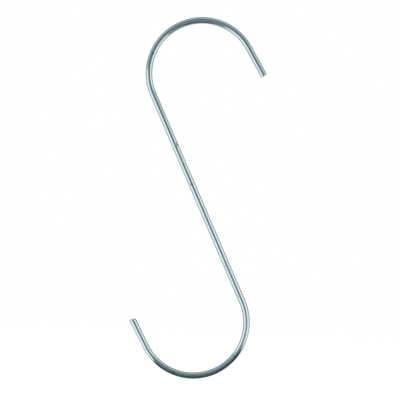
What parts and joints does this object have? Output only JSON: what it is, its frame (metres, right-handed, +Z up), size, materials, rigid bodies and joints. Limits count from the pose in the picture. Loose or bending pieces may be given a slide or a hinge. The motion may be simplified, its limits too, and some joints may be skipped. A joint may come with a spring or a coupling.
{
  "type": "s hook",
  "caption": "Long S hook of bright plated round steel wire, with a straight slanting shank between two open bends.",
  "frame": {"origin": "inside crown of the upper bend, on the side that bears on the rail", "axes": "+Z up along the load line, +X towards the upper bend's mouth, Y across the flat hook; the lower bend's mouth opens to -X"},
  "size_m": [0.0776, 0.004, 0.218],
  "materials": {
    "zinc_plated_steel": "bright zinc plating on drawn wire, pale blue-grey, smooth, with fine draw lines"
  },
  "bodies": {
    "root": {"s_hook": "zinc_plated_steel"}
  },
  "joints": []
}
